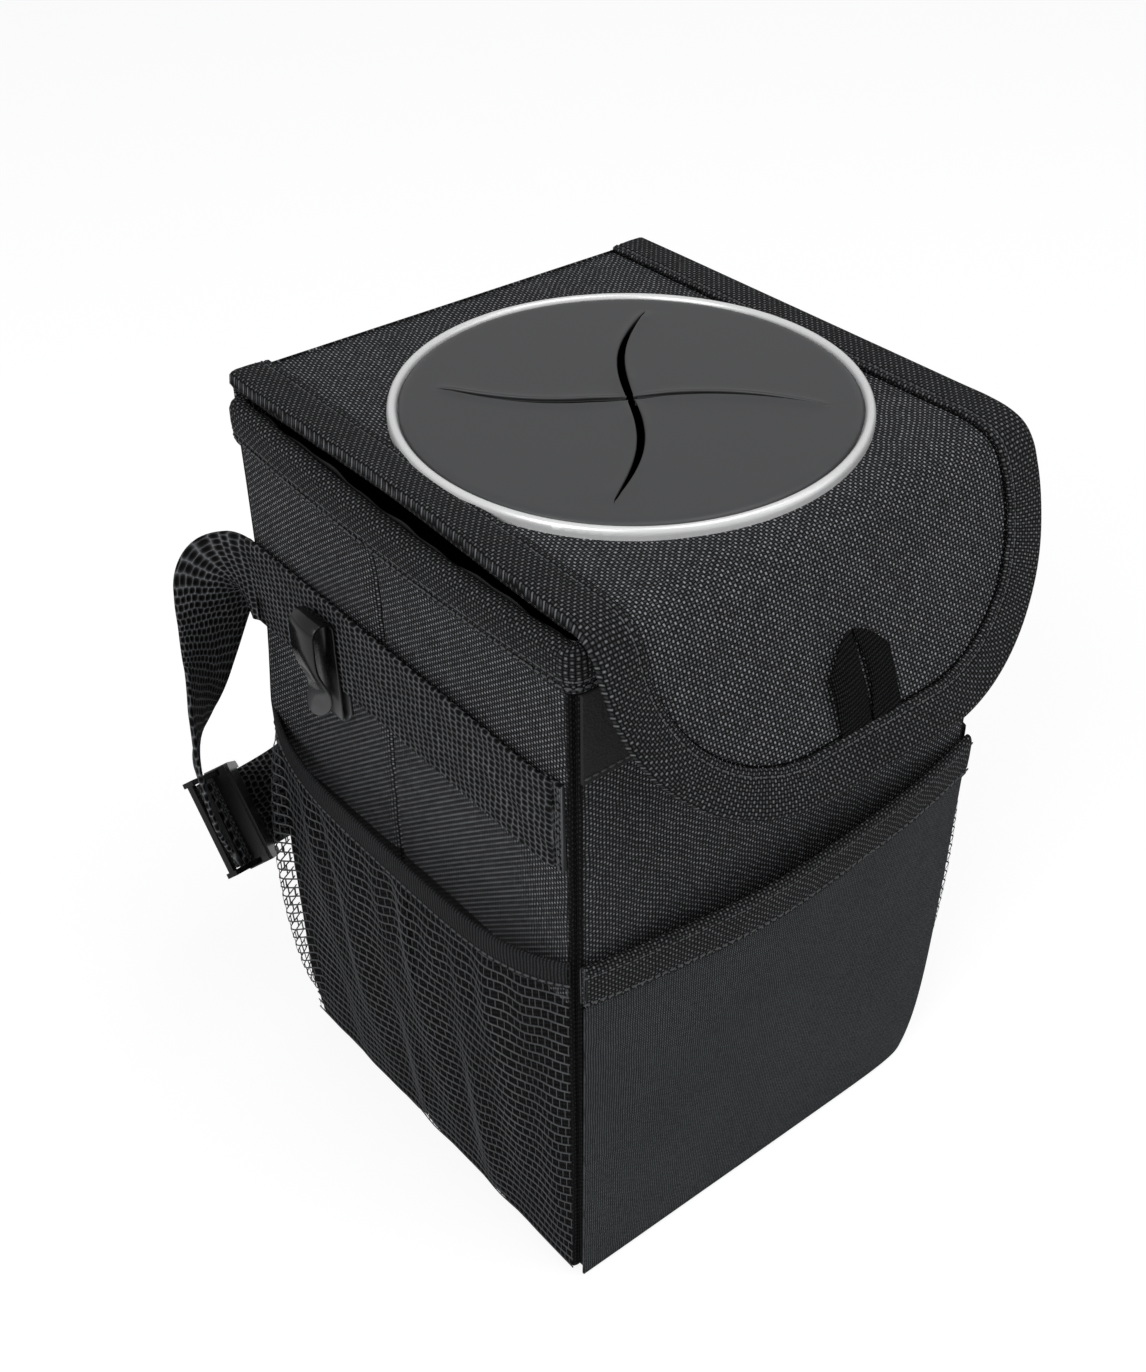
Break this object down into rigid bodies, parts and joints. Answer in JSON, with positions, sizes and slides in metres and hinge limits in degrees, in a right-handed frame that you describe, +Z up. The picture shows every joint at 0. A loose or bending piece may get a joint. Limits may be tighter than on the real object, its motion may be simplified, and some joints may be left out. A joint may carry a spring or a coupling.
{
  "type": "car litter bin with storage pockets",
  "caption": "Soft-sided car litter bin with a hinged lid, a slitted drop-in port, a front flap, storage pockets, strap clips and a buckled hanging strap.",
  "frame": {"origin": "centre of the underside of the base", "axes": "+Z up through the lid, -Y towards the front that carries the flap and the front pocket, +X towards the right side for someone who faces that front"},
  "size_m": [0.219, 0.2483, 0.2789],
  "materials": {
    "shell_cloth": "plain woven polyester, matte with light specks",
    "stiffener": "matte sheet",
    "liner": "coated cloth, slightly glossy",
    "edge_tape": "ribbed woven tape, matte",
    "hook_and_loop": "fuzzy nap",
    "pocket_cloth": "fine woven polyester, matte",
    "mesh": "open knitted mesh, semi-gloss yarn",
    "elastic": "ribbed elastic, matte",
    "webbing": "coarse ribbed webbing, matte",
    "grosgrain": "grosgrain with cross ribs",
    "buckle_plastic": "moulded, semi-gloss",
    "clip_steel": "black gloss enamel, bare grey at the ends",
    "bright_ring": "satin bright",
    "retainer_plastic": "moulded, matte",
    "port_rubber": "smooth, slightly satin"
  },
  "bodies": {
    "bin": {"front_panel": "shell_cloth", "back_panel": "shell_cloth", "left_panel": "shell_cloth", "right_panel": "shell_cloth", "base_panel": "shell_cloth", "front_board": "stiffener", "back_board": "stiffener", "base_board": "stiffener", "liner": "liner", "rim_binding": "edge_tape", "loop_strip": "hook_and_loop", "front_pocket": "pocket_cloth", "front_pocket_binding": "edge_tape", "left_mesh_pocket": "mesh", "right_mesh_pocket": "mesh", "left_mesh_binding": "elastic", "right_mesh_binding": "elastic", "left_strap": "webbing", "buckle_plug": "buckle_plastic"},
    "lid": {"lid_cover": "shell_cloth", "lid_board": "stiffener", "lid_lining": "liner", "left_lid_binding": "edge_tape", "right_lid_binding": "edge_tape", "port_ring": "bright_ring", "port_retainer": "retainer_plastic", "port_disc": "port_rubber"},
    "flap": {"flap_cover": "shell_cloth", "flap_lining": "liner", "flap_binding": "edge_tape", "hook_strip": "hook_and_loop", "pull_tab": "grosgrain"},
    "left_clip": {"left_clip": "clip_steel"},
    "right_clip": {"right_clip": "clip_steel"},
    "buckle_socket": {"buckle_socket": "buckle_plastic", "right_strap": "webbing"}
  },
  "joints": [
    {"name": "lid_hinge", "type": "hinge", "parent": "bin", "child": "lid", "pos_m": [0, 0.0839, 0.27015], "axis": [-1, 0, 0], "range_deg": [0, 180]},
    {"name": "flap_fold", "type": "hinge", "parent": "lid", "child": "flap", "pos_m": [0, -0.0842, 0.2741], "axis": [-1, 0, 0], "range_deg": [-14, 90]},
    {"name": "left_clip_slide", "type": "slide", "parent": "bin", "child": "left_clip", "axis": [0, 1, 0], "range_m": [-0.085, 0.025]},
    {"name": "right_clip_slide", "type": "slide", "parent": "bin", "child": "right_clip", "axis": [0, 1, 0], "range_m": [-0.085, 0.025]},
    {"name": "buckle_release", "type": "slide", "parent": "bin", "child": "buckle_socket", "axis": [0.434, 0.642, -0.632], "range_m": [0, 0.022], "deforming": ["right_strap", "buckle_plug"]}
  ]
}
